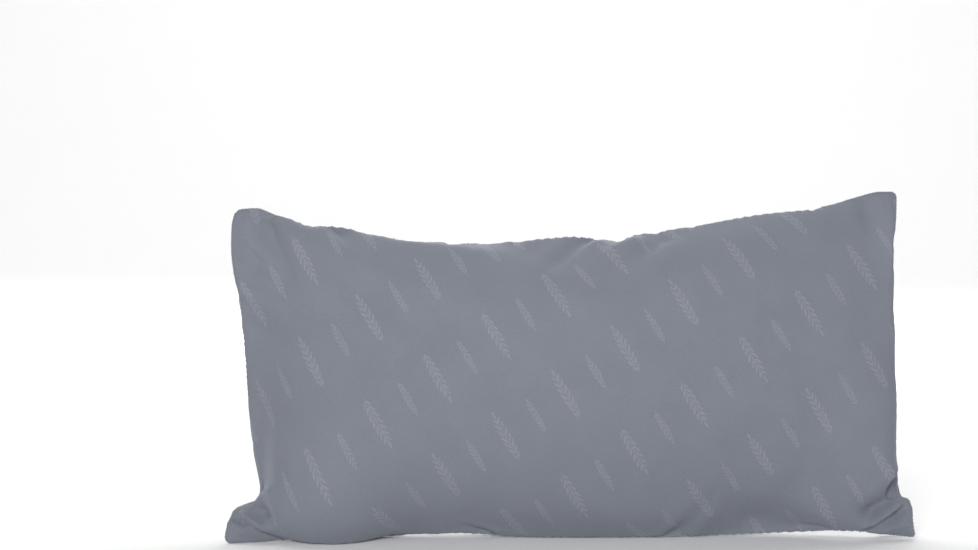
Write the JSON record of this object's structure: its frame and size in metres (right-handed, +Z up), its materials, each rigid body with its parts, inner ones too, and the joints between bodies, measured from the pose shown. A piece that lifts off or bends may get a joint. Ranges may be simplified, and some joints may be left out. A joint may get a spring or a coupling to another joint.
{
  "type": "camp pillow",
  "caption": "Small stuffed camp pillow: two brushed fabric panels sewn together round a fibre fill, standing on its long lower seam.",
  "frame": {"origin": "under the middle of the pillow, on the surface that it stands on", "axes": "+X along the long seams, +Y through the thickness towards the back panel, +Z up; the front panel faces -Y"},
  "size_m": [0.5009, 0.0984, 0.254],
  "materials": {
    "shell_fabric": "matte",
    "fibre": "matte",
    "thread": "matte",
    "label_tape": "matte"
  },
  "bodies": {
    "root": {"front_panel": "shell_fabric", "back_panel": "shell_fabric", "fibre_fill": "fibre", "top_seam_thread": "thread", "bottom_seam_thread": "thread", "right_seam_thread": "thread", "left_seam_thread_lower": "thread", "closing_stitch": "thread", "left_seam_thread_upper": "thread", "care_label": "label_tape"}
  },
  "joints": []
}
